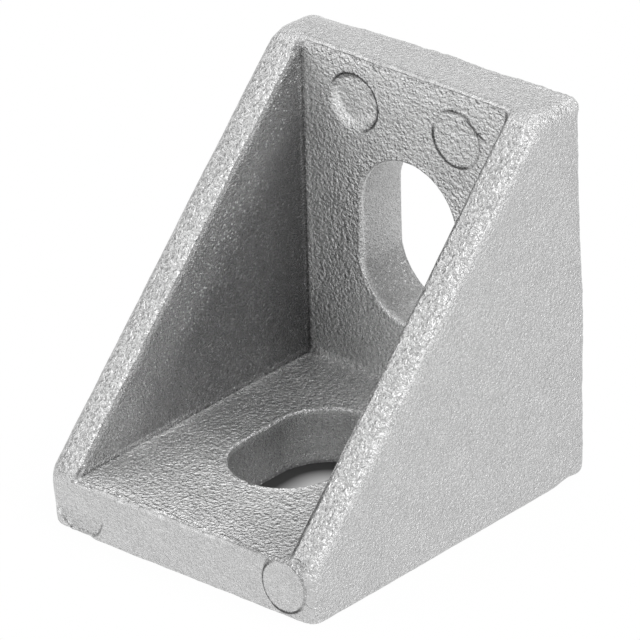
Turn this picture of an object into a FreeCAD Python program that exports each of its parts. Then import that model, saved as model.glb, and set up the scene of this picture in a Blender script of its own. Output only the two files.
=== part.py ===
import FreeCAD, Part
import math
import os
import Sketcher

# Cast corner bracket for 20 mm slotted framing: a base plate and an upright plate at a right
# angle, each with one long slot for a screw, joined by a triangular gusset at either side.
# X runs across the width, Y from the open front to the upright's outer face, Z is up. The
# origin is the middle of the part's box, on the plane of the base plate's underside.
# All sizes are in millimetres and all angles in degrees.

SIZES = [
    ("width", 17.0, "across both gussets at the open front"),
    ("depth", 20.0, "from the front face to the upright's outer face"),
    ("height", 20.0, "from the underside to the top face"),
    ("base_thickness", 2.9, "base plate at its front edge"),
    ("upright_thickness", 3.1, "upright plate"),
    ("gusset_thickness", 1.9, "each gusset at its front edge"),
    ("nose_radius", 1.4, "where the gusset's slope meets the front face and the top face"),
    ("side_draft", 0.15, "lean of the outer sides towards the back"),
    ("core_draft", 0.5, "lean of the inner faces towards the upright"),
    ("slot_width", 6.0, "both slots, for an M5 screw with play"),
    ("slot_length", 8.8, "both slots, end to end along the leg"),
    ("slot_to_heel", 10.75, "slot's middle from the other leg's outer face"),
    ("outer_edge_radius", 0.7, "gusset's outer edge"),
    ("rim_radius", 0.35, "rim of the hollow, on gussets and plates"),
    ("root_radius", 0.3, "inner corners between plates and gussets"),
    ("back_edge_radius", 0.4, "edges round the upright's outer face"),
    ("foot_edge_radius", 0.2, "edges round the underside"),
    ("slot_edge_radius", 0.2, "slot's rim on the inner side"),
    ("upright_mark_radius", 1.53, "ejector pin marks on the upright"),
    ("upright_mark_height", 17.4, "their middle above the underside"),
    ("upright_mark_offset", 3.25, "their middle from the part's middle"),
    ("upright_mark_depth", 0.15, "how far the left one is sunk"),
    ("faint_mark_depth", 0.04, "how far the right one is sunk"),
    ("front_mark_radius", 1.36, "ejector pin marks on the front face"),
    ("sunk_mark_height", 1.3, "left mark's middle above the underside"),
    ("sunk_mark_offset", 6.35, "left mark's middle from the part's middle"),
    ("sunk_mark_depth", 0.2, "how far the left mark is sunk"),
    ("proud_mark_height", 1.62, "right mark's middle above the underside"),
    ("proud_mark_offset", 6.6, "right mark's middle from the part's middle"),
    ("proud_mark_rise", 0.1, "how far the right mark stands out"),
]


def write_sheet(doc):
    """Spreadsheet of the driving sizes, one aliased cell a row."""
    sheet = doc.addObject("Spreadsheet::Sheet", "sizes")
    for row, (alias, value, note) in enumerate(SIZES, 1):
        sheet.set("A%d" % row, note)
        sheet.set("B%d" % row, str(value))
        sheet.setAlias("B%d" % row, alias)
    doc.recompute()
    return sheet


def origin_plane(body, role):
    """The body's own XY, XZ or YZ plane."""
    for item in body.Origin.OriginFeatures:
        if item.Role == role:
            return item
    raise ValueError("no plane " + role)


def new_sketch(body, name, role, lift="0"):
    """Empty sketch on an origin plane, lifted along the plane's normal by a formula."""
    sketch = body.newObject("Sketcher::SketchObject", name)
    sketch.AttachmentSupport = [(origin_plane(body, role), "")]
    sketch.MapMode = "FlatFace"
    sketch.setExpression("AttachmentOffset.Base.z", "(%s) * 1 mm" % lift)
    body.Document.recompute()
    return sketch


def bind(sketch, kind, formula, *where):
    """Add a constraint whose value follows a formula of the sheet's sizes."""
    value = float(sketch.evalExpression(formula))
    number = sketch.addConstraint(Sketcher.Constraint(kind, *where, value))
    sketch.setExpression("Constraints[%d]" % number, formula)


def pin(sketch, geometry, point, across, up):
    """Hold one point of a sketch at a place given by two formulas."""
    bind(sketch, "DistanceX", across, -1, 1, geometry, point)
    bind(sketch, "DistanceY", up, -1, 1, geometry, point)


def place(sketch, across, up):
    """Where two formulas put a point, as a first guess for the sketch."""
    return FreeCAD.Vector(float(sketch.evalExpression(across)), float(sketch.evalExpression(up)), 0)


def draw_polygon(sketch, corners):
    """Closed outline through corners given by pairs of formulas."""
    spots = [place(sketch, across, up) for across, up in corners]
    following = spots[1:] + spots[:1]
    lines = sketch.addGeometry([Part.LineSegment(*ends) for ends in zip(spots, following)], False)
    for line, after, (across, up) in zip(lines, lines[1:] + lines[:1], corners):
        sketch.addConstraint(Sketcher.Constraint("Coincident", line, 2, after, 1))
        pin(sketch, line, 1, across, up)


def draw_circle(sketch, across, up, radius):
    """Circle at a place and with a radius given by formulas."""
    middle = place(sketch, across, up)
    size = float(sketch.evalExpression(radius))
    circle = sketch.addGeometry(Part.Circle(middle, FreeCAD.Vector(0, 0, 1), size), False)
    pin(sketch, circle, 3, across, up)
    bind(sketch, "Radius", radius, circle)


def draw_slot(sketch, middle, length, width):
    """Upright slot on the sketch's vertical axis, with round ends."""
    reach = "(%s - %s) / 2" % (length, width)
    far = place(sketch, "0", "%s + %s" % (middle, reach))
    near = place(sketch, "0", "%s - %s" % (middle, reach))
    radius = float(sketch.evalExpression(width + " / 2"))
    side = FreeCAD.Vector(radius, 0, 0)
    up = FreeCAD.Vector(0, radius, 0)
    far_end, near_end, left, right = sketch.addGeometry([
        Part.Arc(far + side, far + up, far - side),
        Part.Arc(near - side, near - up, near + side),
        Part.LineSegment(far - side, near - side),
        Part.LineSegment(near + side, far + side)], False)
    for first, second in ((far_end, left), (left, near_end), (near_end, right), (right, far_end)):
        sketch.addConstraint(Sketcher.Constraint("Tangent", first, 2, second, 1))
    pin(sketch, far_end, 3, "0", "%s + %s" % (middle, reach))
    pin(sketch, near_end, 3, "0", "%s - %s" % (middle, reach))
    bind(sketch, "Radius", width + " / 2", far_end)


def add_pad(body, sketch, length, midplane=False):
    """Material along the sketch's normal, or to both sides of it."""
    pad = body.newObject("PartDesign::Pad", sketch.Name + "_pad")
    pad.Profile = sketch
    pad.setExpression("Length", "(%s) * 1 mm" % length)
    pad.Midplane = midplane
    body.Document.recompute()
    return pad


def add_pocket(body, sketch, length, reverse=False, midplane=False):
    """Cut against the sketch's normal, along it or to both sides, checked to take material."""
    before = body.Shape.Volume
    pocket = body.newObject("PartDesign::Pocket", sketch.Name + "_pocket")
    pocket.Profile = sketch
    pocket.setExpression("Length", "(%s) * 1 mm" % length)
    pocket.Reversed = reverse
    pocket.Midplane = midplane
    body.Document.recompute()
    if not body.Shape.Volume < before:
        raise ValueError(pocket.Name + " cuts nothing")
    return pocket


def round_edges(body, name, radius, wanted):
    """Fillet on every edge whose middle point passes the test."""
    base = body.Tip
    names = ["Edge%d" % number for number, edge in enumerate(base.Shape.Edges, 1)
             if wanted(edge.valueAt((edge.FirstParameter + edge.LastParameter) / 2))]
    if not names:
        raise ValueError("no edge for " + name)
    fillet = body.newObject("PartDesign::Fillet", name)
    fillet.Base = (base, names)
    fillet.setExpression("Radius", "(%s) * 1 mm" % radius)
    body.Document.recompute()
    return fillet


def near(value, target, slack=0.02):
    """Whether two lengths are the same."""
    return abs(value - target) < slack


# Places that several sketches share, as formulas of the sheet's sizes.
FRONT = "(-sizes.depth / 2)"
BACK = "(sizes.depth / 2)"
WALL = "(sizes.depth / 2 - sizes.upright_thickness)"
CORE_RUN = "(sizes.depth - sizes.upright_thickness)"
OUTER = "(sizes.width / 2)"
OUTER_BACK = "(sizes.width / 2 - sizes.depth * tan(sizes.side_draft))"
INNER = "(sizes.width / 2 - sizes.gusset_thickness)"
INNER_WALL = "(%s - %s * tan(sizes.core_draft))" % (INNER, CORE_RUN)
BASE_AT_WALL = "(sizes.base_thickness + %s * tan(sizes.core_draft))" % CORE_RUN
CLEAR = "5"


class Places:
    """The same places as numbers, to pick edges by where they lie."""

    def __init__(self, sheet):
        for alias, _, _ in SIZES:
            setattr(self, alias, float(getattr(sheet, alias)))
        self.front = -self.depth / 2
        self.back = self.depth / 2
        self.wall = self.back - self.upright_thickness
        self.side_lean = math.tan(math.radians(self.side_draft))
        self.core_lean = math.tan(math.radians(self.core_draft))

    def on_outer_side(self, point):
        """Whether a point lies on a gusset's outer face."""
        return near(abs(point.x), self.width / 2 - (point.y - self.front) * self.side_lean)

    def on_inner_side(self, point):
        """Whether a point lies on a gusset's inner face."""
        inner = self.width / 2 - self.gusset_thickness
        return near(abs(point.x), inner - (point.y - self.front) * self.core_lean)

    def on_base_top(self, point):
        """Whether a point lies on the base plate's upper face."""
        return near(point.z, self.base_thickness + (point.y - self.front) * self.core_lean)

    def on_upright(self, point):
        """Whether a point lies on the upright's inner face."""
        return near(point.y, self.wall)

    def on_hollow_corner(self, point):
        """Whether a point lies on two of the hollow's faces."""
        faces = (self.on_inner_side(point), self.on_base_top(point), self.on_upright(point))
        return sum(faces) == 2

    def on_slot_rim(self, point):
        """Whether a point lies on a slot's rim on the inner side of its plate."""
        reach = self.slot_length / 2 + self.slot_edge_radius
        on_base = self.on_base_top(point) and near(point.y, self.back - self.slot_to_heel, reach)
        on_wall = self.on_upright(point) and near(point.z, self.slot_to_heel, reach)
        return near(point.x, 0, self.slot_width / 2 + self.slot_edge_radius) and (on_base or on_wall)

    def on_slope(self, point):
        """Whether a point lies on the gussets' slope."""
        rise = (self.height - self.base_thickness) / (self.wall - self.front)
        return near(point.z, self.base_thickness + (point.y - self.front) * rise)


def draw_slope(sketch):
    """Outline of what is cut away above the gussets, with both ends of the slope rounded."""
    low = place(sketch, FRONT, "sizes.base_thickness")
    high = place(sketch, WALL, "sizes.height")
    limit = place(sketch, FRONT + " - " + CLEAR, "sizes.height + " + CLEAR)
    radius = float(sketch.evalExpression("sizes.nose_radius"))
    normal = FreeCAD.Vector(0, 0, 1)
    along = FreeCAD.Vector(high - low).normalize()
    lean = math.atan2(along.y, along.x)
    low_step = radius * math.tan((math.pi / 2 - lean) / 2)
    high_step = radius * math.tan(lean / 2)
    low_edge = low - FreeCAD.Vector(0, low_step, 0)
    high_edge = high + FreeCAD.Vector(high_step, 0, 0)
    low_round = Part.Circle(low_edge + FreeCAD.Vector(radius, 0, 0), normal, radius)
    high_round = Part.Circle(high_edge - FreeCAD.Vector(0, radius, 0), normal, radius)
    low_lip, low_arc, slope, high_arc, high_lip, top, front = sketch.addGeometry([
        Part.LineSegment(FreeCAD.Vector(limit.x, low_edge.y, 0), low_edge),
        Part.ArcOfCircle(low_round, lean + math.pi / 2, math.pi),
        Part.LineSegment(low + along * low_step, high - along * high_step),
        Part.ArcOfCircle(high_round, math.pi / 2, lean + math.pi / 2),
        Part.LineSegment(high_edge, FreeCAD.Vector(high_edge.x, limit.y, 0)),
        Part.LineSegment(FreeCAD.Vector(high_edge.x, limit.y, 0), limit),
        Part.LineSegment(limit, FreeCAD.Vector(limit.x, low_edge.y, 0))], False)
    for kind, where in (
            ("Coincident", (low_lip, 2, low_arc, 2)), ("Tangent", (low_arc, 1, slope, 1)),
            ("Tangent", (slope, 2, high_arc, 2)), ("Coincident", (high_arc, 1, high_lip, 1)),
            ("Coincident", (high_lip, 2, top, 1)), ("Coincident", (top, 2, front, 1)),
            ("Coincident", (front, 2, low_lip, 1)), ("Horizontal", (low_lip,)),
            ("Vertical", (high_lip,)), ("Horizontal", (top,)), ("Vertical", (front,)),
            ("PointOnObject", (low_arc, 3, low_lip)), ("PointOnObject", (high_arc, 3, high_lip))):
        sketch.addConstraint(Sketcher.Constraint(kind, *where))
    bind(sketch, "DistanceX", FRONT + " + sizes.nose_radius", -1, 1, low_arc, 3)
    bind(sketch, "DistanceY", "sizes.height - sizes.nose_radius", -1, 1, high_arc, 3)
    bind(sketch, "Radius", "sizes.nose_radius", low_arc)
    bind(sketch, "Radius", "sizes.nose_radius", high_arc)
    bind(sketch, "DistanceX", FRONT + " - " + CLEAR, -1, 1, front, 1)
    bind(sketch, "DistanceY", "sizes.height + " + CLEAR, -1, 1, front, 1)
    for corner, across, up in ((low, FRONT, "sizes.base_thickness"), (high, WALL, "sizes.height")):
        mark = sketch.addGeometry(Part.Point(corner), True)
        pin(sketch, mark, 1, across, up)
        sketch.addConstraint(Sketcher.Constraint("PointOnObject", mark, 1, slope))


def build_casting(doc, sheet):
    """The whole bracket as one body."""
    at = Places(sheet)
    body = doc.addObject("PartDesign::Body", "corner_bracket")
    body.Label = "corner_bracket"

    # Base plate and upright, with the base plate thicker towards the upright.
    angle = new_sketch(body, "plates", "YZ_Plane")
    draw_polygon(angle, [
        (FRONT, "0"), (BACK, "0"), (BACK, "sizes.height"), (WALL, "sizes.height"),
        (WALL, BASE_AT_WALL), (FRONT, "sizes.base_thickness")])
    add_pad(body, angle, "sizes.width", midplane=True)

    # Gussets, thicker towards the upright on their inner side.
    gussets = new_sketch(body, "gussets", "XY_Plane")
    for sign in ("", "-"):
        draw_polygon(gussets, [
            (sign + INNER, FRONT), (sign + OUTER, FRONT), (sign + OUTER, BACK),
            (sign + INNER_WALL, BACK), (sign + INNER_WALL, WALL)])
    add_pad(body, gussets, "sizes.height")

    # Outer sides lean in towards the back.
    lean = new_sketch(body, "side_lean", "XY_Plane")
    for sign in ("", "-"):
        draw_polygon(lean, [(sign + OUTER, FRONT), (sign + OUTER, BACK), (sign + OUTER_BACK, BACK)])
    add_pocket(body, lean, "sizes.height", reverse=True)

    # Slope from the front face to the top face.
    slope = new_sketch(body, "slope", "YZ_Plane")
    draw_slope(slope)
    add_pocket(body, slope, "sizes.width + 2 * " + CLEAR, midplane=True)

    # Rounded corners of the hollow, then its rim, the gussets' outer edges and the rest.
    round_edges(body, "root_rounding", "sizes.root_radius", at.on_hollow_corner)
    round_edges(body, "rim_rounding", "sizes.rim_radius",
                lambda point: at.on_slope(point) and at.on_inner_side(point))
    round_edges(body, "outer_rounding", "sizes.outer_edge_radius",
                lambda point: at.on_slope(point) and at.on_outer_side(point))
    round_edges(body, "back_rounding", "sizes.back_edge_radius",
                lambda point: near(point.y, at.back))
    round_edges(body, "foot_rounding", "sizes.foot_edge_radius",
                lambda point: near(point.z, 0))

    # One slot through each plate, rounded on the inner side where the screw head bears.
    base_slot = new_sketch(body, "base_slot", "XY_Plane")
    draw_slot(base_slot, BACK + " - sizes.slot_to_heel", "sizes.slot_length", "sizes.slot_width")
    add_pocket(body, base_slot, BASE_AT_WALL + " + " + CLEAR, reverse=True)
    upright_slot = new_sketch(body, "upright_slot", "XZ_Plane", "-" + BACK)
    draw_slot(upright_slot, "sizes.slot_to_heel", "sizes.slot_length", "sizes.slot_width")
    add_pocket(body, upright_slot, "sizes.upright_thickness + " + CLEAR, reverse=True)
    round_edges(body, "slot_rounding", "sizes.slot_edge_radius", at.on_slot_rim)

    # Round marks left by the ejector pins: two on the upright, two on the front face.
    for name, across, depth in (
            ("left_pin_mark", "-sizes.upright_mark_offset", "sizes.upright_mark_depth"),
            ("right_pin_mark", "sizes.upright_mark_offset", "sizes.faint_mark_depth")):
        mark = new_sketch(body, name, "XZ_Plane", "-" + WALL)
        draw_circle(mark, across, "sizes.upright_mark_height", "sizes.upright_mark_radius")
        add_pocket(body, mark, depth)
    sunk = new_sketch(body, "sunk_pin_mark", "XZ_Plane", "-" + FRONT)
    draw_circle(sunk, "-sizes.sunk_mark_offset", "sizes.sunk_mark_height", "sizes.front_mark_radius")
    add_pocket(body, sunk, "sizes.sunk_mark_depth")
    proud = new_sketch(body, "proud_pin_mark", "XZ_Plane", "-%s - sizes.outer_edge_radius" % FRONT)
    draw_circle(proud, "sizes.proud_mark_offset", "sizes.proud_mark_height", "sizes.front_mark_radius")
    add_pad(body, proud, "sizes.outer_edge_radius + sizes.proud_mark_rise")
    return body


def check(doc, body):
    """Stop if a feature failed or the casting isn't one sound solid."""
    for item in doc.Objects:
        if "Invalid" in item.State or "Error" in item.State:
            raise RuntimeError(item.Name + " failed")
    shape = body.Shape
    if shape.isNull() or not shape.isValid() or len(shape.Solids) != 1:
        raise RuntimeError("the casting isn't one valid solid")


doc = FreeCAD.newDocument("corner_bracket")
casting = build_casting(doc, write_sheet(doc))
check(doc, casting)
os.makedirs("parts", exist_ok=True)
casting.Shape.exportStep("parts/%s.step" % casting.Label)
print("%s: %.1f mm3" % (casting.Label, casting.Shape.Volume))
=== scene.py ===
import math

import bmesh
import bpy
import numpy as np
from mathutils import Matrix, Vector


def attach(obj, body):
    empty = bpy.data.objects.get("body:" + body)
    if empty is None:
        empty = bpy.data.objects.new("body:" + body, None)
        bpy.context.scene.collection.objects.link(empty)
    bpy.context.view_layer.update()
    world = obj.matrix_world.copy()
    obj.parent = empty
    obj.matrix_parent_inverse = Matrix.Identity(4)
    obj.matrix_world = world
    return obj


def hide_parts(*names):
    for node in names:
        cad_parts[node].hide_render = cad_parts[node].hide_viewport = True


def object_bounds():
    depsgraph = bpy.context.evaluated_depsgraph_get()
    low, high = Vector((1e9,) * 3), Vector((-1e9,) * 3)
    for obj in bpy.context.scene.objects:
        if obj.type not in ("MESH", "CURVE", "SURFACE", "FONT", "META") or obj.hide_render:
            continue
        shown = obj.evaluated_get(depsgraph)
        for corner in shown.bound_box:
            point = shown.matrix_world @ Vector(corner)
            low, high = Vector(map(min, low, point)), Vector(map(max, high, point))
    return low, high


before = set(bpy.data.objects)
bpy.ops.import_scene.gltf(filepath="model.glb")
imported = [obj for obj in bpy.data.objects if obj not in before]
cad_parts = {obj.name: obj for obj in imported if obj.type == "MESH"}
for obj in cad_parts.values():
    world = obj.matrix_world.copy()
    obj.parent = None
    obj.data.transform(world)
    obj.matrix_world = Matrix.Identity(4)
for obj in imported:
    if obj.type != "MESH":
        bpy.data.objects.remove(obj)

# Cast corner bracket on a white table. Shapes are worked out in millimetres in the part's frame:
# X across, Y from the open front to the upright's outer face, Z up from the underside.

CAD_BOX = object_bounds()
MM = 0.001

# Places on the casting
FRONT = -10.0
TOP = 20.0
WALL = 6.9              # the upright's inner face
BASE = 2.9              # the base plate's upper face at its front edge
HOLLOW = 6.6            # half the hollow's width at its open front
CORE_LEAN = math.tan(math.radians(0.5))
RISE = (TOP - BASE) / (WALL - FRONT)

# Slots
SLOT_RUN = 1.4          # half the straight run between a slot's round ends
BASE_SLOT = -0.75       # Y of the base slot's middle
UPRIGHT_SLOT = 10.75    # Z of the upright slot's middle
BASE_RIM = 3.04         # radius of the base slot's upper rim, where its painted highlight runs
UPRIGHT_RIM = 3.07      # radius of the upright slot's inner rim, where its painted highlight runs

# Mesh
VOXEL = 0.07
TRIANGLES = 196000
SHARP_ANGLE = 35        # degrees between faces from which their edge shows as a crease

# Camera
AZIMUTH = 41.8467       # degrees right of the open front
ELEVATION = 27.0833     # degrees above the horizon
ROLL = 1.6524           # degrees that the picture leans
DISTANCE = 479.84       # mm from the aim point
LENS = 566.68           # mm on a sensor 36 mm wide
AIM = (0.0706, 0.355, 9.425)    # mm, the point in the middle of the picture

# Lamps: name, degrees right of the open front, degrees up, size in metres, watts
LAMP_DISTANCE = 0.4
LAMPS = [
    ("right_side", 90, 42, 0.45, 1.20),
    ("behind_left", -138, 55, 0.40, 0.52),
    ("front_left", -45, 14, 0.40, 0.48),
]
WORLD = 0.63            # light from all round

# Table
TABLE_HALF = 2.0        # metres from its middle to its edges
TABLE_BESIDE = 0.97     # share of plain white right beside the bracket, the rest is lit
TABLE_UNDER = 0.9       # the same share under the bracket
TABLE_IN_SLOT = 0.45    # how light the table's painted shadow is under the middle of the base slot

# Metal
TONE = 0.585
LIGHTEST = 1.65         # the most that the painted shade lightens the metal
ROUGHNESS = 0.28
GRAIN_SCALE = 5.2       # coarse grains a mm
GRAIN = 0.160           # mm, height of the coarse grain
FINE_SCALE = 12.5       # fine grains a mm
FINE = 0.100            # mm, height of the fine grain
GLINT_SCALE = 6.0       # places for a painted glint a mm, of which few are taken
GROOVE_DEPTH = 0.05     # mm, grooves round the pin marks

# How coarse the grain is, with its height in mm and with how much it changes the tone
GRAIN_HEIGHTS = [(-1.0, 0.14 * GRAIN), (0.0, 0.6 * GRAIN), (1.0, 0.75 * GRAIN), (2.0, 1.4 * GRAIN)]
GRAIN_TONES = [(0, 0.5), (1, 0.75), (2, 1.5)]

# Casting edges that came out rough: both ends, reach, depth and length of the bumps
ROUGH_EDGES = [
    ((-8.4, 10, 20), (8.4, 10, 20), 0.45, 0.15, 0.65),
    ((-6.3, 6.9, 20), (6.3, 6.9, 20), 0.30, 0.16, 0.5),
    ((-6.6, -10, 2.9), (6.6, -10, 2.9), 0.26, 0.10, 0.4),
    ((8.45, 10, 0.5), (8.45, 10, 19.5), 0.40, 0.06, 0.9),
    ((-8.45, 10, 0.5), (-8.45, 10, 19.5), 0.40, 0.07, 1.3),
    ((-8.4, 10, 20), (8.4, 10, 20), 0.35, 0.13, 0.26),
    ((8.45, 10, 0.5), (8.45, 10, 19.5), 0.32, 0.07, 0.26),
    ((8.4, 6.6, 19.8), (8.4, 9.8, 19.8), 0.35, 0.12, 0.35),
    ((-8.4, 6.6, 19.8), (-8.4, 9.8, 19.8), 0.35, 0.12, 0.5),
    ((-8.4, -10, 0), (8.4, -10, 0), 0.25, 0.03, 0.9),
    ((-6.6, -9.9, 2.85), (7.6, -9.9, 3.0), 0.20, 0.16, 0.24),
    ((-7.75, -9.9, 1.0), (-7.2, -10, 0.1), 0.20, 0.08, 0.20),
    ((8.1, 7.0, 19.9), (8.3, 9.8, 19.6), 0.30, 0.10, 0.22),
]

# Larger flaws: middle, reach along X, Y and Z, and how far the skin moves there
DENTS = [
    ((-7.6, 10, 20.0), (3.4, 0.9, 0.8), (0, -0.12, -0.19)),
    ((8.4, 8.6, 0), (1.5, 0.75, 0.6), (0, 0, 0.15)),
    ((8.4, 10, 0), (0.6, 0.5, 0.5), (-0.05, -0.08, 0.2)),
    ((-8.4, -9.8, 0.9), (0.6, 0.8, 0.9), (0.13, 0.03, 0)),
    ((-8.4, -10, 0.0), (0.7, 0.6, 0.5), (0.12, 0.05, 0.1)),
    ((8.45, 10, 8.5), (0.5, 0.5, 4.0), (0.09, 0.09, 0)),
    ((1.0, 10, 20.0), (1.9, 0.7, 0.5), (0, 0.05, 0.10)),
    ((5.4, 10, 20.0), (0.8, 0.7, 0.5), (0, 0.04, 0.08)),
]

# Ejector pin marks: middle in X and Z, and radius. Left and right on the upright's inner face, then
# left and right on the front.
MARKS = [(-3.25, 17.42, 1.50), (3.17, 17.36, 1.45), (-6.35, 1.30, 1.38), (6.60, 1.62, 1.33)]
SCAR = ((3.5, 18.72), (5.1, 17.74))     # straight groove that leaves the upright's right mark

# Discs that fill the solid's three sunk marks: Y of the face, and radius
DISCS = [(WALL, 1.60), (WALL, 1.62), (FRONT, 1.42)]
DISC_DEPTH = 0.4
DISC_FOOT = 0.15        # height at which the front's disc is cut off
DISC_SIDES = 72


def noise(points, cell, seed):
    """Smooth random field from -1 to 1 with features about one cell wide."""
    side = 61
    grid = np.random.RandomState(seed).uniform(-1, 1, (side, side, side))
    where = points / cell
    base = np.floor(where).astype(int)
    step = where - base
    step = step * step * (3 - 2 * step)
    value = np.zeros(len(points))
    for corner in np.ndindex(2, 2, 2):
        x, y, z = ((base + corner) % side).T
        value += np.prod(np.where(corner, step, 1 - step), axis=1) * grid[x, y, z]
    return value


def smooth(value, low, high):
    """From 0 at low to 1 at high, without a crease."""
    t = np.clip((value - low) / (high - low), 0, 1)
    return t * t * (3 - 2 * t)


def distance_to_run(points, start, end):
    """Distance of each point to a straight run."""
    start, run = np.array(start, float), np.array(end, float) - np.array(start, float)
    along = np.clip((points - start) @ run / (run @ run), 0, 1)
    return np.linalg.norm(points - start - along[:, None] * run, axis=1)


def from_slot_middle(across, along):
    """Distance from a slot's middle line, given the places across and along it."""
    return np.hypot(across, np.maximum(np.abs(along) - SLOT_RUN, 0))


def polar(points, middle):
    """Distance and angle in degrees about a middle in the XZ plane."""
    dx, dz = points[:, 0] - middle[0], points[:, 2] - middle[1]
    return np.hypot(dx, dz), np.degrees(np.arctan2(dz, dx))


def angle_from(angle, centre):
    """How far an angle lies from another, in degrees."""
    return np.abs((angle - centre + 180) % 360 - 180)


def hollow_depths(points):
    """How far points lie inside the hollow's sides, above its base and before its wall."""
    x, y, z = points.T
    lean = (y - FRONT) * CORE_LEAN
    return HOLLOW - lean - np.abs(x), z - BASE - lean, WALL - y


def below_slope(points):
    """How far points lie straight down from the gussets' sloping edges."""
    return (points[:, 1] - FRONT) * RISE + BASE - points[:, 2]


def slopes(normals):
    """Where the gussets' sloping edges are."""
    return (normals[:, 1] < -0.3) & (normals[:, 2] > 0.3)


def inner_sides(points, normals):
    """Where the gussets' inner faces are."""
    return (np.abs(normals[:, 0]) > 0.7) & (np.abs(points[:, 0]) < 7) & (np.abs(points[:, 0]) > 5)


def in_slots(points, normals):
    """Where the walls of the two slots are."""
    x, y, z = points.T
    base = (from_slot_middle(x, y - BASE_SLOT) < 3.15) & (np.abs(normals[:, 2]) < 0.8) & (z < 3.4)
    upright = (from_slot_middle(x, z - UPRIGHT_SLOT) < 3.15) & (np.abs(normals[:, 1]) < 0.6) & (y > 6.5)
    return base | upright


def upright_face(points, normals):
    """Where the upright's inner face is near its top."""
    return (normals[:, 1] < -0.2) & (np.abs(points[:, 1] - WALL) < 0.5) & (points[:, 2] > 14.5)


def front_face(points, normals):
    """Where the front face is."""
    return (normals[:, 1] < -0.4) & (points[:, 1] < -9.3) & (points[:, 2] < 3.2)


def outer_faces(points, normals):
    """1 on the casting's outer faces, 0 on its slopes and in its hollow."""
    x, y, z = points.T
    outer = smooth(np.abs(x), 8.15, 8.4) * (np.abs(normals[:, 0]) > 0.5)
    outer = np.maximum(outer, smooth(z, 19.6, 19.85) * (normals[:, 2] > 0.5))
    outer = np.maximum(outer, smooth(-y, 9.6, 9.85) * (normals[:, 1] < -0.9))
    outer = np.maximum(outer, smooth(y, 9.7, 9.9) * (normals[:, 1] > 0.5))
    return np.maximum(outer, smooth(-z, -0.25, -0.1) * (normals[:, 2] < -0.5))


def fill_marks(mesh):
    """Plain discs in the solid's sunk pin marks, which are then pressed again with soft steps."""
    shape = bmesh.new()
    shape.from_mesh(mesh)
    turns = [math.tau * step / DISC_SIDES for step in range(DISC_SIDES)]
    for (x, z, _), (face, radius) in zip(MARKS, DISCS):
        rings = []
        for y in (face, face + DISC_DEPTH):
            rings.append([shape.verts.new((x + radius * math.cos(turn),
                                           y,
                                           max(z + radius * math.sin(turn), DISC_FOOT))) for turn in turns])
        front, back = rings
        shape.faces.new(front)
        shape.faces.new(back[::-1])
        for step in range(DISC_SIDES):
            after = (step + 1) % DISC_SIDES
            shape.faces.new((front[after], front[step], back[step], back[after]))
    shape.to_mesh(mesh)
    shape.free()


def press_upright_marks(points, normals):
    """Ejector pin marks at the upright's top: one sunk and leaning, one nearly flush."""
    facing = (np.abs(points[:, 1] - WALL) < 0.5) & (points[:, 2] > 15) & (normals[:, 2] < 0.6)
    x, z, radius = MARKS[0]
    reach, angle = polar(points, (x, z))
    ramp = 0.26 + 0.40 * smooth(angle_from(angle, 228), 70, 20)
    shallow = 1 - 0.85 * smooth(angle_from(angle, 295), 45, 20)
    sunk = 0.19 * smooth(radius + 0.03 - reach, 0, ramp) * (1 - (1 - shallow) * smooth(reach, 0.6, 1.4))
    inside = facing & (reach < radius + 0.15)
    points[inside, 1] = WALL + sunk[inside]

    x, z, radius = MARKS[1]
    reach, angle = polar(points, (x, z))
    inside = facing & (reach < radius + 0.20)
    points[inside, 1] = WALL + 0.05 * smooth(radius + 0.03 - reach[inside], 0, 0.12)


def press_front_mark(points, normals):
    """Ejector pin mark at the front's lower left corner, sunk at its foot. The right one is the solid's."""
    facing = (points[:, 1] < -9.3) & (normals[:, 2] > -0.5) & (np.abs(normals[:, 0]) < 0.7)
    x, z, radius = MARKS[2]
    reach, angle = polar(points, (x, z))
    foot = smooth(points[:, 2], 1.5, 0.0) * smooth(radius + 0.03 - reach, 0, 0.12)
    inside = facing & (reach < radius + 0.12) & (points[:, 2] > 0.2)
    points[inside, 1] = FRONT + 0.10 * foot[inside]


def to_corner(first, second):
    """How far a rounding of radius 1 lies inside its sharp corner, by its normal's two parts."""
    size = np.maximum(np.hypot(first, second), 0.01)
    return np.minimum(size / np.maximum(np.maximum(np.abs(first), np.abs(second)), 0.01) - 1, 0.42)


def deepen_roots(points, normals):
    """Press the hollow's inner corners almost sharp, and ease the rim of the right gusset."""
    x, y, z = points.T
    side, base, wall = hollow_depths(points)
    hollow = (np.abs(x) < 6.75) & (y < 7.05) & (z > 2.8) & (z < 19.4)
    for first, second, part_a, part_b in ((side, base, 0, 2), (side, wall, 0, 1), (base, wall, 2, 1)):
        corner = hollow & (first < 0.36) & (second < 0.36) & (first > -0.1) & (second > -0.1)
        gap = 0.25 * corner * to_corner(normals[:, part_a], normals[:, part_b])
        points -= normals * gap[:, None]
    slope = (normals[:, 1] < -0.2) & (normals[:, 2] > 0.2) & (x > 6.4) & (x < 7.2)
    turned = np.clip(-2 * normals[:, 0] * (normals[:, 2] - normals[:, 1]) / math.sqrt(2), 0, 1)
    points -= normals * (0.10 * slope * turned * smooth(z, 20, 8))[:, None]


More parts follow.
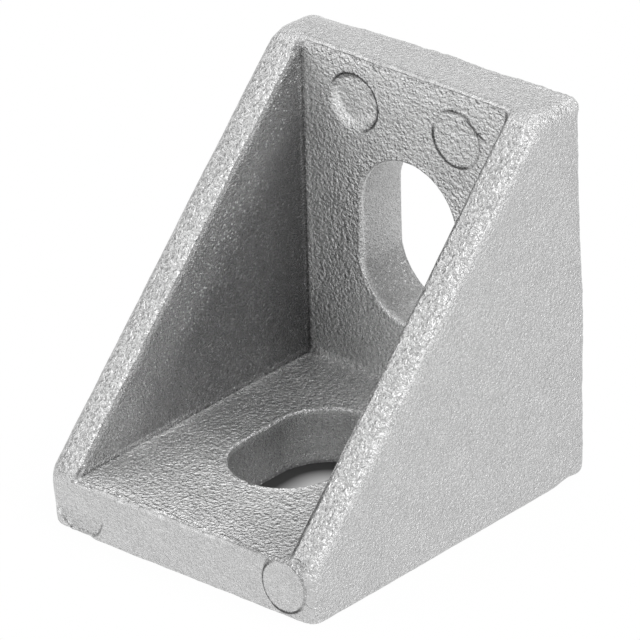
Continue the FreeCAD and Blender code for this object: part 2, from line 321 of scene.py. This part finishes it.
def sharpen_rims(points, normals):
    """Fill part of the rounding at the plates' rims, the front foot and the right back corner."""
    x, y, z = points.T
    ends = ((z > 19) & (np.abs(y - WALL) < 1)) | ((y < -9.4) & (np.abs(z - BASE) < 0.8))
    ends = ends * smooth(np.abs(x), 6.6, 6.2)
    points += normals * (0.32 * ends * to_corner(normals[:, 1], normals[:, 2]))[:, None]
    foot = (y < -9.5) * (z < 0.5) * smooth(x, -5.9, -5.3)
    points += normals * (0.17 * foot * to_corner(normals[:, 1], normals[:, 2]))[:, None]
    corner = smooth(x, 3, 7) * smooth(y, 9.1, 9.6) * smooth(z, 18.5, 19.5)
    back = np.abs(normals[:, 1]) + np.abs(normals[:, 2]) - np.hypot(normals[:, 1], normals[:, 2])
    points += normals * (corner * (0.34 * back + 0.08 * (np.abs(normals).sum(1) - 1)))[:, None]


def shape_slot_rims(points, normals):
    """Draw the base slot in towards its upper rim, and fill part of both slots' rounded rims."""
    x, y, z = points.T
    along = y - BASE_SLOT
    reach = from_slot_middle(x, along)
    base = (reach < 3.3) & (z > 2.6) & (z < 3.4)
    over = 0.10 * smooth(z, 1.5, 2.7) * smooth(reach, 3.7, 3.25) * (z < 3.4) / np.maximum(reach, 1)
    points[:, 0] -= over * x
    points[:, 1] -= over * np.sign(along) * np.maximum(np.abs(along) - SLOT_RUN, 0)
    filled = 0.15 * base * np.hypot(normals[:, 0], normals[:, 1]) * np.clip(normals[:, 2], 0, 1)
    upright = (from_slot_middle(x, z - UPRIGHT_SLOT) < 3.3) & (y > 6.5) & (y < 7.3)
    filled += 0.10 * upright * np.hypot(normals[:, 0], normals[:, 2]) * np.clip(-normals[:, 1], 0, 1)
    points += normals * filled[:, None]


def roughen_edges(points, normals):
    """Bumps and small chips along the casting's edges, always inwards."""
    cut = np.zeros(len(points))
    for number, (start, end, reach, depth, cell) in enumerate(ROUGH_EDGES):
        weight = np.exp(-(distance_to_run(points, start, end) / reach) ** 2)
        near = weight > 0.02
        bumps = 0.5 + 0.35 * noise(points[near], cell, 40 + number)
        bumps += 0.3 * noise(points[near], cell / 2.3, 60 + number)
        cut[near] = np.maximum(cut[near], weight[near] * depth * np.clip(bumps, 0, 1))
    points -= normals * cut[:, None]


def dent(points):
    """The larger flaws."""
    for middle, reach, move in DENTS:
        weight = np.exp(-(((points - middle) / reach) ** 2).sum(1))
        points += weight[:, None] * np.array(move)


def skin(points):
    """How the cast skin rises and falls."""
    waves = 0.016 * noise(points, 3.1, 11) + 0.012 * noise(points, 1.3, 12)
    return waves + 0.008 * noise(points, 0.55, 13) + 0.005 * noise(points, 0.27, 14)


def near_ring(reach, mark):
    """1 on a mark's rim and fading to both sides."""
    return np.exp(-((reach - mark[2]) / 0.25) ** 2)


def grooves(points, normals):
    """How strong the thin grooves round the pin marks are, which the material bumps in and also paints dark
    as shade.
    """
    reach, angle = polar(points, MARKS[1][:2])
    broken = smooth(angle_from(angle, 146), 12, 30)
    right = near_ring(reach, MARKS[1]) * broken * (0.4 + 0.6 * smooth(angle_from(angle, 225), 85, 60))
    line = np.exp(-(distance_to_run(points, (2.8, WALL, 18.85), (4.75, WALL, 17.95)) / 0.25) ** 2)
    right = np.maximum(right, line)
    reach, angle = polar(points, MARKS[0][:2])
    left = near_ring(reach, MARKS[0]) * smooth(angle_from(angle, 45), 135, 80)
    upright = np.maximum(left, right) * upright_face(points, normals)

    reach, angle = polar(points, MARKS[3][:2])
    right = near_ring(reach, MARKS[3]) * smooth(angle_from(angle, 85), 20, 45)
    right *= 0.35 + 0.65 * smooth(angle_from(angle, 225), 110, 80)
    reach, angle = polar(points, MARKS[2][:2])
    left = 0.7 * smooth(angle_from(angle, 222), 35, 15) + 0.7 * smooth(angle_from(angle, 330), 25, 10)
    left *= 0.8 * near_ring(reach, MARKS[2])
    front = np.maximum(left, right) * front_face(points, normals)
    return np.maximum(upright, front)


def lit_rims(points, normals):
    """Where the slots' rims catch the light: the base's at the back left, the upright's low left."""
    x, y, z = points.T
    base = (z > 2.6) & (z < 3.4) & (from_slot_middle(x, y - BASE_SLOT) < 3.5)
    upright = (y > 6.6) & (y < 7.4) & (from_slot_middle(x, z - UPRIGHT_SLOT) < 3.5) & (normals[:, 1] < -0.2)
    low_left = smooth(z, 9.9, 8.7) * smooth(x, 0.4, -1.0)
    return 1.2 * base * smooth(0.6 * y - 0.8 * x, -0.5, 1.0) + 1.8 * upright * low_left


def coarse_grain(points, normals):
    """How coarse the grain is: 2 on the slopes, 1 on the plates, 0 outside, less on the inner sides."""
    x, y, z = points.T
    side, base, wall = hollow_depths(points)
    inner = inner_sides(points, normals) * (1.7 - 0.55 * smooth(below_slope(points), 3, 0.5))
    inner = np.maximum(inner, 0.85 * in_slots(points, normals))
    rims = (np.abs(z - BASE) < 0.35) & (y < -9.7) | (z > 19.5) & (np.abs(y - WALL) < 0.4)
    more = 1 + slopes(normals) + 0.8 * (rims & (np.abs(x) < 6.8))
    calm = np.maximum(0.45 * smooth(side, 2.4, 0.4) * (x < 0), 0.55 * smooth(z, 8, 5))
    calm = np.maximum(calm, 0.32 * smooth(z, 13, 15.5))
    calm = 1 - calm * (np.abs(wall) < 0.3) - 0.35 * smooth(y, 1.5, 4.5) * (np.abs(base) < 0.3) * (y < 7)
    root = np.minimum(np.hypot(side, base), np.hypot(side, wall))
    grain = (1 - np.maximum(outer_faces(points, normals), inner)) * more
    return grain * calm * (0.35 + 0.65 * smooth(root, 0.12, 0.35))


def sides_painted_shade(points, normals):
    """Painted shade: the hollow's sides are dark, most of all low down and near the upright."""
    side, base, wall = hollow_depths(points)
    deep = 0.34 - 0.05 * smooth(points[:, 2], 12, 16) + 0.23 * smooth(below_slope(points), 1.5, 5)
    deep += 0.12 * smooth(wall, 4, 0.5)
    by_root = (np.minimum(base, wall) < 0.4) & (np.minimum(base, wall) > -0.1) & (np.abs(side) < 0.5)
    sides = np.maximum(inner_sides(points, normals), by_root * smooth(np.abs(normals[:, 0]), 0.2, 0.5))
    return 1 - sides * deep


def plates_painted_light(points):
    """Painted light and shade: the base is lightest before its slot, and the upright is darkest low down at
    the left.
    """
    x, y, z = points.T
    side, base, wall = hollow_depths(points)
    on_base = 0.25 + 0.33 * smooth(np.abs(y + 4.4), 3.6, 1)
    on_base += 0.11 * smooth(y, -1, 3) - 0.24 * smooth(x, 1.5, 5)
    on_base *= (np.abs(base) < 0.3) & (y < 7.2)
    on_wall = 0.44 - 0.43 * smooth(z, 7.5, 4) * smooth(x, -1, -4.5) - 0.14 * smooth(z, 13, 16)
    on_wall *= np.abs(wall) < 0.3
    return 1 + (side > -0.1) * np.maximum(on_base, on_wall)


def roots_painted_shade(points, normals):
    """Painted shade: the hollow's roots are dark lines."""
    x, y, z = points.T
    side, base, wall = hollow_depths(points)
    root = np.minimum(np.hypot(side, base), np.minimum(np.hypot(side, wall), np.hypot(base, wall)))
    slope = slopes(normals) & (np.abs(x) > 6.5)
    fade = smooth(y, -9.9, -9.2) * smooth(z, 19.9, 19.2) * (y < 7.2) * (np.abs(x) < 7.1) * ~slope
    beside = (np.abs(x) > 6) | (np.abs(side) < 0.35)
    dark = 0.40 - 0.24 * smooth(y, -7.5, -5.5) * (wall > 0.8) * (base < 0.4)
    return 1 - dark * fade * beside * smooth(root, 0.18, 0.06)


def rims_painted_light(points, normals):
    """Painted light and shade: the upright's top rim is dark, the base's front rim speckled, the top and
    front faces lighter.
    """
    x, y, z = points.T
    turned = 2 * np.clip(-normals[:, 1], 0, 1) * np.clip(normals[:, 2], 0, 1) * (np.abs(x) < 6.7)
    specks = smooth(noise(points, 0.24, 72), 0.0, 0.5)
    top = 0.38 * (z > 19.4) * (np.abs(WALL - y) < 0.5)
    front = (0.2 - 0.4 * specks) * (y < -9.6)
    faces = 0.10 * (z > 19.6) * (normals[:, 2] > 0.7) + 0.06 * (y < -9.8) * (normals[:, 1] < -0.9)
    return (1 - turned * (top + front)) * (1 + faces)


def slopes_painted_light(points, normals):
    """Painted light and shade on the slopes: the right one has a dark inner rim, and the left one is
    lighter along its inner side.
    """
    x, y, z = points.T
    edge = (x > 6.4) & (x < 7.3) & (normals[:, 1] < -0.2) & (normals[:, 2] > 0.2)
    ends = 0.2 + 0.8 * smooth(np.abs(z - 10.5), 3, 6)
    left = slopes(normals) & (x < -6.5)
    right = slopes(normals) & (x > 6.5)
    tone = 1 - 0.5 * edge * smooth(-normals[:, 0], 0.12, 0.45) * ends
    tone *= 1 - 0.05 * left - 0.02 * right
    return tone * (1 + left * (0.09 * smooth(x, -7.6, -7.1) - 0.06 * smooth(x, -7.6, -8.2)))


def flaws_painted_light(points, normals):
    """Painted light and shade: the upright's left mark has a light floor and a dark crescent, and the burr
    at the left foot bright specks.
    """
    reach, angle = polar(points, MARKS[0][:2])
    ramp = smooth(angle_from(angle, 228), 70, 25) * np.exp(-((reach - 1.2) / 0.25) ** 2)
    crescent = smooth(angle_from(angle, 35), 110, 65) * np.exp(-((reach - 1.40) / 0.12) ** 2)
    tone = 1 + (0.25 * ramp - 0.45 * crescent) * upright_face(points, normals)
    burr = np.exp(-(distance_to_run(points, (-7.8, -9.85, 1.1), (-7.1, -10, 0.1)) / 0.16) ** 2)
    return tone * (1 + 1.1 * burr * smooth(noise(points, 0.16, 71), -0.1, 0.3))


def slots_painted_shade(points, normals):
    """Painted shade: the slots' walls are darker, the upright's low down, the base's in front and at the
    foot.
    """
    x, y, z = points.T
    walls = in_slots(points, normals)
    upright = 0.03 + 0.12 * smooth(z, 9.8, 8.3)
    base = 0.24 - 0.19 * smooth(y, 0, 2.5)
    low_left = (y > 6.5) * smooth(z, 9.2, 8.2) * smooth(x, -1.0, -1.8)
    tone = (1 - 0.18 * walls * low_left) * (1 - walls * np.where(y > 6.5, upright, base))
    return tone * (1 - 0.35 * walls * smooth(z, 0.3, 0.12))


def shade(points, normals):
    """How much darker or lighter the metal looks, for what it mirrors in the studio."""
    tone = sides_painted_shade(points, normals)
    tone *= plates_painted_light(points)
    tone *= roots_painted_shade(points, normals)
    tone *= rims_painted_light(points, normals)
    tone *= slopes_painted_light(points, normals)
    tone *= flaws_painted_light(points, normals)
    tone *= slots_painted_shade(points, normals)
    return np.minimum(tone, LIGHTEST)


def vectors(items, name):
    """One vector of each mesh item, as an array."""
    flat = np.empty(len(items) * 3)
    items.foreach_get(name, flat)
    return flat.reshape(-1, 3)


def paint(mesh, name, values):
    """Keep one number a vertex for the material."""
    mesh.attributes.new(name, "FLOAT", "POINT").data.foreach_set("value", values.astype(np.float32))


def remake(piece, kind, **settings):
    """Put a piece through one modifier."""
    modifier = piece.modifiers.new("remake", kind)
    for name, value in settings.items():
        setattr(modifier, name, value)
    graph = bpy.context.evaluated_depsgraph_get()
    piece.data = bpy.data.meshes.new_from_object(piece.evaluated_get(graph))
    piece.modifiers.clear()


def shape_casting(mesh, low, high):
    """Give the even mesh the marks, rims, flaws and skin of the casting."""
    points = vectors(mesh.vertices, "co")
    normals = vectors(mesh.vertex_normals, "vector")
    press_upright_marks(points, normals)
    press_front_mark(points, normals)
    mesh.vertices.foreach_set("co", points.ravel())
    mesh.update()
    normals = vectors(mesh.vertex_normals, "vector")
    deepen_roots(points, normals)
    sharpen_rims(points, normals)
    shape_slot_rims(points, normals)
    roughen_edges(points, normals)
    dent(points)
    points += normals * (skin(points) - 0.02)[:, None]
    mesh.vertices.foreach_set("co", np.clip(points, low, high).ravel())
    mesh.update()


def dress_casting(mesh, low, high):
    """Paint what the material needs on the mesh, bring it to metres and give it its metal."""
    points = np.clip(vectors(mesh.vertices, "co"), low, high)
    normals = vectors(mesh.vertex_normals, "vector")
    paint(mesh, "coarse", coarse_grain(points, normals))
    # Painted light and shade, the grooves' painted shade and where the rims' painted highlights go are kept
    # on the vertices.
    paint(mesh, "shade", shade(points, normals))
    paint(mesh, "groove", grooves(points, normals))
    paint(mesh, "rim", lit_rims(points, normals))
    mesh.vertices.foreach_set("co", (points * MM).ravel())
    mesh.polygons.foreach_set("use_smooth", [True] * len(mesh.polygons))
    mesh.update()
    mesh.set_sharp_from_angle(angle=math.radians(SHARP_ANGLE))
    mesh.materials.clear()
    mesh.materials.append(make_aluminium())


def make_casting():
    """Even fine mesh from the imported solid, with the skin, flaws and marks of the casting."""
    solid = bpy.data.objects["corner_bracket"]
    low, high = (np.array(corner) / MM for corner in CAD_BOX)
    mesh = solid.data.copy()
    mesh.vertices.foreach_set("co", (vectors(mesh.vertices, "co") / MM).ravel())
    fill_marks(mesh)
    piece = bpy.data.objects.new("casting", mesh)
    bpy.context.scene.collection.objects.link(piece)
    remake(piece, "REMESH", mode="VOXEL", voxel_size=VOXEL)
    shape_casting(piece.data, low, high)
    remake(piece, "DECIMATE", ratio=TRIANGLES / (2 * len(piece.data.polygons)))
    dress_casting(piece.data, low, high)
    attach(piece, "root")
    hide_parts("corner_bracket")


class Nodes:
    """Short names for building a node tree."""

    def __init__(self, tree):
        self.tree = tree

    def add(self, kind, **settings):
        node = self.tree.nodes.new(kind)
        for name, value in settings.items():
            setattr(node, name, value)
        return node

    def link(self, output, socket):
        self.tree.links.new(output, socket)

    def put(self, socket, value):
        if isinstance(value, bpy.types.NodeSocket):
            self.link(value, socket)
        else:
            socket.default_value = value

    def painted(self, name):
        """The number that is kept on the mesh under this name."""
        return self.add("ShaderNodeAttribute", attribute_name=name).outputs["Fac"]

    def parts(self, vector):
        """X, Y and Z of a vector."""
        split = self.add("ShaderNodeSeparateXYZ")
        self.link(vector, split.inputs[0])
        return split.outputs

    def math(self, operation, first, second=0.0):
        node = self.add("ShaderNodeMath", operation=operation)
        self.put(node.inputs[0], first)
        self.put(node.inputs[1], second)
        return node.outputs[0]

    def length(self, first, second):
        """Length of a flat vector, both of whose parts are positive."""
        squares = self.math("ADD", self.math("POWER", first, 2.0), self.math("POWER", second, 2.0))
        return self.math("SQRT", squares)

    def past_run(self, along, middle, half):
        """How far a place along a slot lies beyond the straight run about its middle."""
        past = self.math("ABSOLUTE", self.math("SUBTRACT", along, middle))
        return self.math("MAXIMUM", self.math("SUBTRACT", past, half), 0.0)

    def noise(self, vector, scale, detail, roughness=0.5, distortion=0.0):
        node = self.add("ShaderNodeTexNoise")
        self.link(vector, node.inputs["Vector"])
        node.inputs["Scale"].default_value = scale
        node.inputs["Detail"].default_value = detail
        node.inputs["Roughness"].default_value = roughness
        node.inputs["Distortion"].default_value = distortion
        return node.outputs["Fac"]

    def spread(self, value, low, high, start, end):
        """Map low to high onto start to end."""
        node = self.add("ShaderNodeMapRange")
        self.put(node.inputs["Value"], value)
        node.inputs["From Min"].default_value = low
        node.inputs["From Max"].default_value = high
        node.inputs["To Min"].default_value = start
        node.inputs["To Max"].default_value = end
        return node.outputs["Result"]

    def steps(self, value, places):
        """Map a value onto straight runs between places, each a value and its result."""
        total = places[0][1]
        for (low, start), (high, end) in zip(places, places[1:]):
            total = self.math("ADD", self.spread(value, low, high, 0.0, end - start), total)
        return total


def thin_grooves(nodes, where, fine):
    """1 in the thin grooves of the pin marks, drawn about their middles in the XZ plane."""
    across, _, up = nodes.parts(where)
    flat = nodes.add("ShaderNodeCombineXYZ")
    nodes.link(across, flat.inputs["X"])
    nodes.link(up, flat.inputs["Z"])
    (x0, z0), (x1, z1) = SCAR
    run = math.hypot(x1 - x0, z1 - z0)
    side = nodes.add("ShaderNodeVectorMath", operation="DOT_PRODUCT")
    nodes.link(flat.outputs[0], side.inputs[0])
    side.inputs[1].default_value = ((z1 - z0) / run, 0, (x0 - x1) / run)
    offset = (x0 * (z1 - z0) + z0 * (x0 - x1)) / run
    line = nodes.math("ABSOLUTE", nodes.math("SUBTRACT", side.outputs["Value"], offset))
    after = nodes.spread(across, x0, x0 + 0.2, 1, 0)
    nearest = nodes.math("ADD", line, after)
    for x, z, radius in MARKS:
        reach = nodes.add("ShaderNodeVectorMath", operation="DISTANCE")
        nodes.link(flat.outputs[0], reach.inputs[0])
        reach.inputs[1].default_value = (x, 0, z)
        away = nodes.math("ABSOLUTE", nodes.math("SUBTRACT", reach.outputs["Value"], radius))
        nearest = nodes.math("MINIMUM", nearest, away)
    wobble = nodes.spread(fine, 0.3, 0.7, -0.03, 0.03)
    thin = nodes.spread(nodes.math("ADD", nearest, wobble), 0.030, 0.090, 1, 0)
    return nodes.math("MULTIPLY", thin, nodes.painted("groove"))


def from_slot_rim(nodes, across, along, middle, radius):
    """Distance from a slot's rim, in the plane of its plate."""
    reach = nodes.length(nodes.math("ABSOLUTE", across), nodes.past_run(along, middle, SLOT_RUN))
    return nodes.math("ABSOLUTE", nodes.math("SUBTRACT", reach, radius))


def bright_rims(nodes, where, fine):
    """Painted highlights: the thin light lines on the slots' rims."""
    x, y, z = nodes.parts(where)
    base = from_slot_rim(nodes, x, y, BASE_SLOT, BASE_RIM)
    upright = from_slot_rim(nodes, x, z, UPRIGHT_SLOT, UPRIGHT_RIM)
    nearest = nodes.math("MINIMUM", base, upright)
    nearest = nodes.math("ADD", nearest, nodes.spread(fine, 0.3, 0.7, -0.02, 0.02))
    line = nodes.spread(nearest, 0.045, 0.10, 1, 0)
    return nodes.math("MULTIPLY", line, nodes.painted("rim"))


def glints(nodes, where, shade):
    """Painted glints: small bright specks, most of them on the hollow's dark sides."""
    cells = nodes.add("ShaderNodeTexVoronoi")
    nodes.link(where, cells.inputs["Vector"])
    cells.inputs["Scale"].default_value = GLINT_SCALE
    pick = nodes.add("ShaderNodeSeparateColor")
    nodes.link(cells.outputs["Color"], pick.inputs[0])
    dots = nodes.math("MULTIPLY", nodes.spread(cells.outputs["Distance"], 0.22, 0.40, 1, 0),
                      nodes.spread(pick.outputs[0], 0.58, 0.95, 0, 1))
    strength = nodes.math("MULTIPLY", nodes.spread(shade, 0.40, 0.56, 0.4, 1.0),
                          nodes.spread(shade, 0.64, 0.74, 2.1, 0.12))
    return nodes.math("MULTIPLY", dots, strength)


def make_aluminium():
    """Raw shot-blasted die casting: pale grey metal with a sparkling grain, painted glints, and painted
    light and shade in its colour.
    """
    material = bpy.data.materials.new("cast_aluminium")
    material.use_nodes = True
    nodes = Nodes(material.node_tree)
    shader = material.node_tree.nodes["Principled BSDF"]
    place = nodes.add("ShaderNodeTexCoord")
    scale = nodes.add("ShaderNodeVectorMath", operation="SCALE")
    nodes.link(place.outputs["Object"], scale.inputs[0])
    scale.inputs["Scale"].default_value = 1 / MM
    where = scale.outputs["Vector"]
    coarse = nodes.painted("coarse")
    shade = nodes.painted("shade")
    grain = nodes.noise(where, GRAIN_SCALE, 1.5, 0.5, 0.5)
    fine = nodes.noise(where, FINE_SCALE, 2.0, 0.6)
    mottle = nodes.noise(where, 0.8, 3.0)
    groove = thin_grooves(nodes, where, fine)

    tone = nodes.spread(mottle, 0.3, 0.7, TONE - 0.02, TONE + 0.02)
    grain_tone = nodes.spread(grain, 0.35, 0.65, -0.06, 0.07)
    grain_tone = nodes.math("MULTIPLY", grain_tone, nodes.steps(coarse, GRAIN_TONES))
    # Painted light and shade from the 'shade' attribute darken and lighten the metal's tone.
    colour = nodes.math("MULTIPLY", nodes.math("ADD", tone, grain_tone), shade)
    # Painted glints and painted highlights on the slots' rims lighten the colour further.
    light = nodes.math("ADD", glints(nodes, where, shade), bright_rims(nodes, where, fine))
    colour = nodes.math("MULTIPLY", colour, nodes.math("ADD", light, 1.0))
    colour = nodes.math("MINIMUM", colour, 1.0)
    # The pin marks' thin grooves are bumped in and painted dark as shade.
    colour = nodes.math("MULTIPLY", colour, nodes.spread(groove, 0, 1, 1, 0.15))
    mixed = nodes.add("ShaderNodeCombineColor")
    for channel in range(3):
        nodes.link(colour, mixed.inputs[channel])
    nodes.link(mixed.outputs["Color"], shader.inputs["Base Color"])
    shader.inputs["Metallic"].default_value = 1.0
    rough = nodes.spread(fine, 0.3, 0.7, ROUGHNESS - 0.06, ROUGHNESS + 0.06)
    nodes.link(rough, shader.inputs["Roughness"])

    height = nodes.math("MULTIPLY", grain, nodes.steps(coarse, GRAIN_HEIGHTS))
    fine_height = nodes.math("MULTIPLY", fine, nodes.spread(coarse, 0.0, 1.0, FINE, 0.4 * FINE))
    height = nodes.math("ADD", height, fine_height)
    height = nodes.math("SUBTRACT", height, nodes.math("MULTIPLY", groove, GROOVE_DEPTH))
    bump = nodes.add("ShaderNodeBump")
    bump.inputs["Distance"].default_value = MM
    bump.inputs["Strength"].default_value = 1.0
    nodes.link(height, bump.inputs["Height"])
    nodes.link(bump.outputs["Normal"], shader.inputs["Normal"])
    return material


def toward(azimuth, elevation):
    """Unit vector at so many degrees right of the open front and so many up."""
    side, up = math.radians(azimuth), math.radians(elevation)
    return Vector((math.sin(side) * math.cos(up), -math.cos(side) * math.cos(up), math.sin(up)))


def make_camera():
    """Long lens that looks down into the open side from the front right."""
    back = toward(AZIMUTH, ELEVATION)
    right = Vector((math.cos(math.radians(AZIMUTH)), math.sin(math.radians(AZIMUTH)), 0))
    up = back.cross(right)
    turn = Matrix.Rotation(math.radians(-ROLL), 3, "Z")
    axes = Matrix((right, up, back)).transposed() @ turn
    camera = bpy.data.objects.new("camera", bpy.data.cameras.new("camera"))
    camera.data.lens = LENS
    camera.data.sensor_width = 36
    camera.data.clip_start = 0.01
    camera.data.clip_end = 10
    camera.matrix_world = Matrix.Translation((Vector(AIM) + back * DISTANCE) * MM) @ axes.to_4x4()
    bpy.context.scene.collection.objects.link(camera)
    bpy.context.scene.camera = camera


def make_lamps():
    """Soft studio lamps round the bracket."""
    middle = Vector((0, 0, TOP / 2 * MM))
    for name, azimuth, elevation, size, watts in LAMPS:
        data = bpy.data.lights.new(name, "AREA")
        data.shape = "DISK"
        data.size = size
        data.energy = watts
        lamp = bpy.data.objects.new(name, data)
        back = toward(azimuth, elevation)
        axes = back.to_track_quat("Z", "Y").to_matrix().to_4x4()
        lamp.matrix_world = Matrix.Translation(middle + back * LAMP_DISTANCE) @ axes
        bpy.context.scene.collection.objects.link(lamp)


def make_world():
    """Soft light from all round, plain white where the camera sees it."""
    world = bpy.data.worlds.new("studio")
    world.use_nodes = True
    nodes = Nodes(world.node_tree)
    background = world.node_tree.nodes["Background"]
    background.inputs["Color"].default_value = (1, 1, 1, 1)
    seen = nodes.add("ShaderNodeLightPath").outputs["Is Camera Ray"]
    nodes.link(nodes.spread(seen, 0, 1, WORLD, 1), background.inputs["Strength"])
    bpy.context.scene.world = world


def make_white():
    """Table that looks plain white, keeps some of the bracket's shadow and has a painted shadow under its
    slot.
    """
    material = bpy.data.materials.new("white_table")
    material.use_nodes = True
    nodes = Nodes(material.node_tree)
    shader = material.node_tree.nodes["Principled BSDF"]
    shader.inputs["Base Color"].default_value = (0.85, 0.85, 0.85, 1)
    shader.inputs["Roughness"].default_value = 0.8
    shader.inputs["Specular IOR Level"].default_value = 0.0
    glow = nodes.add("ShaderNodeEmission")
    mix = nodes.add("ShaderNodeMixShader")
    rays = nodes.add("ShaderNodeLightPath")
    place = nodes.add("ShaderNodeTexCoord")
    x, y, _ = nodes.parts(place.outputs["Object"])
    beside = nodes.math("ABSOLUTE", x)
    ahead = nodes.math("ABSOLUTE", y)

    outside = nodes.math("MAXIMUM", nodes.spread(beside, 5 * MM, 6 * MM, 0, 1),
                         nodes.spread(ahead, 6 * MM, 7 * MM, 0, 1))
    far = nodes.math("MAXIMUM", nodes.spread(beside, 11 * MM, 16 * MM, TABLE_BESIDE, 1),
                     nodes.spread(ahead, 12 * MM, 17 * MM, TABLE_BESIDE, 1))
    inwards = nodes.length(beside, nodes.past_run(y, BASE_SLOT * MM, SLOT_RUN * MM))
    # Painted shadow under the base slot: the table glows at TABLE_IN_SLOT along the slot's middle and fades
    # to dark towards its walls.
    under = nodes.spread(inwards, 1.15 * MM, 2.35 * MM, TABLE_IN_SLOT, 0.0)
    nodes.link(nodes.math("MAXIMUM", under, outside), glow.inputs["Strength"])

    mirrored = nodes.math("MULTIPLY", outside, rays.outputs["Is Glossy Ray"])
    seen = nodes.math("MAXIMUM", rays.outputs["Is Camera Ray"], mirrored)
    share = nodes.math("MAXIMUM", nodes.math("MULTIPLY", outside, far), TABLE_UNDER)
    nodes.link(nodes.math("MULTIPLY", share, seen), mix.inputs[0])
    nodes.link(shader.outputs[0], mix.inputs[1])
    nodes.link(glow.outputs[0], mix.inputs[2])
    output = next(node for node in material.node_tree.nodes if node.type == "OUTPUT_MATERIAL")
    nodes.link(mix.outputs[0], output.inputs["Surface"])
    return material


def make_floor():
    """White table top."""
    mesh = bpy.data.meshes.new("floor")
    size = TABLE_HALF
    mesh.from_pydata([(-size, -size, 0), (size, -size, 0), (size, size, 0), (-size, size, 0)],
                     [], [(0, 1, 2, 3)])
    mesh.materials.append(make_white())
    floor = bpy.data.objects.new("floor", mesh)
    bpy.context.scene.collection.objects.link(floor)


make_camera()
make_world()
make_lamps()
make_floor()
make_casting()
bpy.context.scene.view_settings.view_transform = "Standard"
